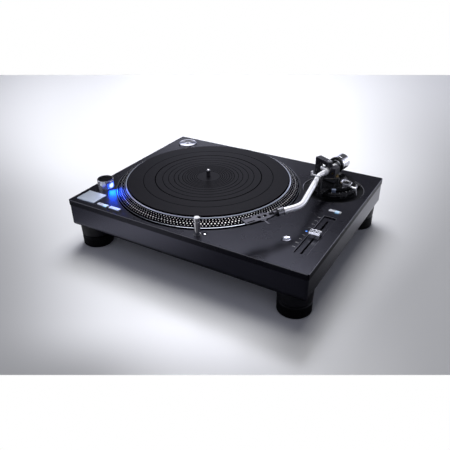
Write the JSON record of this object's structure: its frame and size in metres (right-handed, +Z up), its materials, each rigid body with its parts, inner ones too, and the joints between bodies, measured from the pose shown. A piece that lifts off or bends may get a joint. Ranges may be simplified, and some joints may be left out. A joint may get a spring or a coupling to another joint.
{
  "type": "direct drive turntable",
  "caption": "Direct drive turntable: heavy cabinet on adjustable feet, spinning platter with rubber mat, S-shaped tonearm in a gimbal, pitch fader, strobe lamp and target light.",
  "frame": {"origin": "On the floor, under the middle of the cabinet", "axes": "+X to the right seen from the front, +Y to the back, +Z up"},
  "size_m": [0.453, 0.3516, 0.1437],
  "materials": {
    "panel_paint": "satin dark grey powder paint",
    "body_paint": "satin near-black paint",
    "casting": "as-cast light alloy, unpainted",
    "bronze": "sintered bearing bronze",
    "bearing_plastic": "hard bearing plastic",
    "circuit_board": "green circuit board",
    "copper_wire": "lacquered copper wire",
    "socket_plastic": "moulded black plastic",
    "plated_metal": "plated steel",
    "lamp_metal": "satin anodised aluminium",
    "lamp_glass": "clear window lit blue from inside",
    "trough_plastic": "fine textured black plastic",
    "arm_black": "semi-gloss black paint",
    "platter_metal": "dark anodised turned aluminium with bright edges",
    "mat_rubber": "matt black rubber",
    "polished_steel": "polished steel",
    "magnet": "ferrite",
    "knob_black": "black plastic",
    "key_metal": "brushed anodised aluminium",
    "fader_metal": "satin anodised aluminium",
    "turned_metal": "fine turned aluminium",
    "index_grey": "blue-grey plastic",
    "brass_screw": "turned brass",
    "arm_silver": "polished silver tube",
    "shell_metal": "dark anodised aluminium",
    "weight_metal": "bright turned metal",
    "foot_rubber": "black rubber over metal"
  },
  "bodies": {
    "chassis": {"top_panel": "panel_paint", "base_body": "body_paint", "cast_chassis": "casting", "foot_bosses": "body_paint", "motor_base": "casting", "bearing_sleeve": "bronze", "thrust_pad": "bearing_plastic", "stator_board": "circuit_board", "stator_coils": "copper_wire", "circuit_boards": "circuit_board", "power_inlet": "socket_plastic", "phono_sockets": "plated_metal", "strobe_housing": "lamp_metal", "strobe_window": "lamp_glass", "key_switches": "socket_plastic", "fader_plate": "trough_plastic", "fader_body": "casting", "light_sleeve": "trough_plastic", "arm_mount": "arm_black", "chassis_screws": "plated_metal"},
    "platter": {"platter": "platter_metal", "damping_ring": "mat_rubber", "platter_mat": "mat_rubber", "spindle": "polished_steel", "rotor_yoke": "plated_metal", "rotor_magnet": "magnet"},
    "power_knob": {"power_knob": "knob_black"},
    "start_button": {"start_button": "key_metal"},
    "speed_33_button": {"speed_33_button": "key_metal"},
    "speed_45_button": {"speed_45_button": "key_metal"},
    "reset_button": {"reset_button": "key_metal"},
    "round_button": {"round_button": "key_metal"},
    "fader_knob": {"fader_knob": "fader_metal"},
    "target_light": {"target_light": "lamp_metal"},
    "light_button": {"light_button": "key_metal"},
    "adapter_45": {"adapter_45": "turned_metal"},
    "height_ring": {"height_ring": "arm_black"},
    "arm_base": {"arm_base": "arm_black", "height_index": "index_grey", "gimbal_yoke": "arm_black", "pivot_cap": "plated_metal", "arm_rest": "knob_black"},
    "lock_lever": {"lock_lever": "knob_black"},
    "antiskate_dial": {"antiskate_dial": "turned_metal"},
    "cue_lever": {"cue_lever": "polished_steel"},
    "cue_lift": {"cue_lift": "arm_black"},
    "clamp_lever": {"clamp_lever": "polished_steel"},
    "gimbal": {"gimbal_block": "arm_black", "bearing_screws": "brass_screw"},
    "tonearm": {"arm_tube": "arm_silver", "pivot_carrier": "arm_black", "headshell": "shell_metal"},
    "lock_nut": {"lock_nut": "turned_metal"},
    "weight_core": {"weight_core": "plated_metal"},
    "counterweight": {"counterweight": "weight_metal"},
    "weight_dial": {"weight_dial": "knob_black"},
    "foot_fl": {"foot_fl": "foot_rubber"},
    "foot_fr": {"foot_fr": "foot_rubber"},
    "foot_rl": {"foot_rl": "foot_rubber"},
    "foot_rr": {"foot_rr": "foot_rubber"}
  },
  "joints": [
    {"name": "platter_spin", "type": "hinge", "parent": "chassis", "child": "platter", "pos_m": [-0.046, 0, 0.1], "axis": [0, 0, 1], "continuous": true},
    {"name": "power_turn", "type": "hinge", "parent": "chassis", "child": "power_knob", "pos_m": [-0.2018, -0.1044, 0.104], "axis": [0, 0, -1], "range_deg": [0, 60]},
    {"name": "start_press", "type": "slide", "parent": "chassis", "child": "start_button", "axis": [0, 0, -1], "range_m": [0, 0.0012], "stiffness_N_per_m": 400, "springref_m": -0.001},
    {"name": "speed_33_press", "type": "slide", "parent": "chassis", "child": "speed_33_button", "axis": [0, 0, -1], "range_m": [0, 0.0012], "stiffness_N_per_m": 400, "springref_m": -0.001},
    {"name": "speed_45_press", "type": "slide", "parent": "chassis", "child": "speed_45_button", "axis": [0, 0, -1], "range_m": [0, 0.0012], "stiffness_N_per_m": 400, "springref_m": -0.001},
    {"name": "reset_press", "type": "slide", "parent": "chassis", "child": "reset_button", "axis": [0, 0, -1], "range_m": [0, 0.0012], "stiffness_N_per_m": 400, "springref_m": -0.001},
    {"name": "round_press", "type": "slide", "parent": "chassis", "child": "round_button", "axis": [0, 0, -1], "range_m": [0, 0.0012], "stiffness_N_per_m": 400, "springref_m": -0.001},
    {"name": "pitch_slide", "type": "slide", "parent": "chassis", "child": "fader_knob", "axis": [0, 1, 0], "range_m": [-0.047, 0.047]},
    {"name": "light_rise", "type": "slide", "parent": "chassis", "child": "target_light", "axis": [0, 0, 1], "range_m": [-0.025, 0]},
    {"name": "light_press", "type": "slide", "parent": "chassis", "child": "light_button", "axis": [0, 0, -1], "range_m": [0, 0.001], "stiffness_N_per_m": 400, "springref_m": -0.001},
    {"name": "adapter_lift", "type": "slide", "parent": "chassis", "child": "adapter_45", "axis": [0, 0, 1], "range_m": [0, 0.03]},
    {"name": "height_turn", "type": "hinge", "parent": "chassis", "child": "height_ring", "pos_m": [0.16135, 0.0899, 0.093], "axis": [0, 0, 1], "range_deg": [0, 120]},
    {"name": "arm_base_lift", "type": "slide", "parent": "chassis", "child": "arm_base", "axis": [0, 0, 1], "range_m": [0, 0.006]},
    {"name": "lock_turn", "type": "hinge", "parent": "chassis", "child": "lock_lever", "pos_m": [0.19839, 0.11884, 0.0925], "axis": [0, 0, -1], "range_deg": [0, 60]},
    {"name": "antiskate_turn", "type": "hinge", "parent": "arm_base", "child": "antiskate_dial", "pos_m": [0.18545, 0.084, 0.1085], "axis": [0, 0, 1], "range_deg": [-150, 150]},
    {"name": "cue_turn", "type": "hinge", "parent": "arm_base", "child": "cue_lever", "pos_m": [0.19643, 0.0818, 0.105], "axis": [0.9744, -0.225, 0], "range_deg": [0, 70]},
    {"name": "cue_lift_slide", "type": "slide", "parent": "arm_base", "child": "cue_lift", "axis": [0, 0, 1], "range_m": [-0.00499, 0]},
    {"name": "clamp_turn", "type": "hinge", "parent": "arm_base", "child": "clamp_lever", "pos_m": [0.15806, 0.02865, 0.13747], "axis": [0.1616, 0.9869, 0], "range_deg": [0, 110]},
    {"name": "arm_swing", "type": "hinge", "parent": "arm_base", "child": "gimbal", "pos_m": [0.15125, 0.0855, 0.1185], "axis": [0, 0, -1], "range_deg": [0, 45]},
    {"name": "arm_tilt", "type": "hinge", "parent": "gimbal", "child": "tonearm", "pos_m": [0.15125, 0.0855, 0.1185], "axis": [-0.9869, 0.1616, 0], "range_deg": [-1.2, 4.4]},
    {"name": "lock_nut_turn", "type": "hinge", "parent": "tonearm", "child": "lock_nut", "pos_m": [0.14162, -0.09617, 0.127], "axis": [-0.5195, -0.8545, 0], "range_deg": [0, 60]},
    {"name": "weight_slide", "type": "slide", "parent": "tonearm", "child": "weight_core", "axis": [-0.1616, -0.9869, 0], "range_m": [-0.00249, 0.00249]},
    {"name": "weight_turn", "type": "hinge", "parent": "weight_core", "child": "counterweight", "pos_m": [0.15771, 0.12497, 0.127], "axis": [-0.1616, -0.9869, 0], "range_deg": [-360, 360]},
    {"name": "weight_dial_turn", "type": "hinge", "parent": "counterweight", "child": "weight_dial", "pos_m": [0.15545, 0.11116, 0.127], "axis": [-0.1616, -0.9869, 0], "range_deg": [-180, 180]},
    {"name": "foot_fl_turn", "type": "hinge", "parent": "chassis", "child": "foot_fl", "pos_m": [-0.1965, -0.1465, 0.01], "axis": [0, 0, 1], "range_deg": [-180, 180]},
    {"name": "foot_fr_turn", "type": "hinge", "parent": "chassis", "child": "foot_fr", "pos_m": [0.1965, -0.1465, 0.01], "axis": [0, 0, 1], "range_deg": [-180, 180]},
    {"name": "foot_rl_turn", "type": "hinge", "parent": "chassis", "child": "foot_rl", "pos_m": [-0.1965, 0.1465, 0.01], "axis": [0, 0, 1], "range_deg": [-180, 180]},
    {"name": "foot_rr_turn", "type": "hinge", "parent": "chassis", "child": "foot_rr", "pos_m": [0.1965, 0.1465, 0.01], "axis": [0, 0, 1], "range_deg": [-180, 180]}
  ],
  "couplings": [
    {"joint": "arm_base_lift", "follows": "height_turn", "m_per_rad": 0.00286},
    {"joint": "cue_turn", "follows": "cue_lift_slide", "rad_per_m": -244.5},
    {"joint": "weight_turn", "follows": "weight_slide", "rad_per_m": 2519}
  ]
}
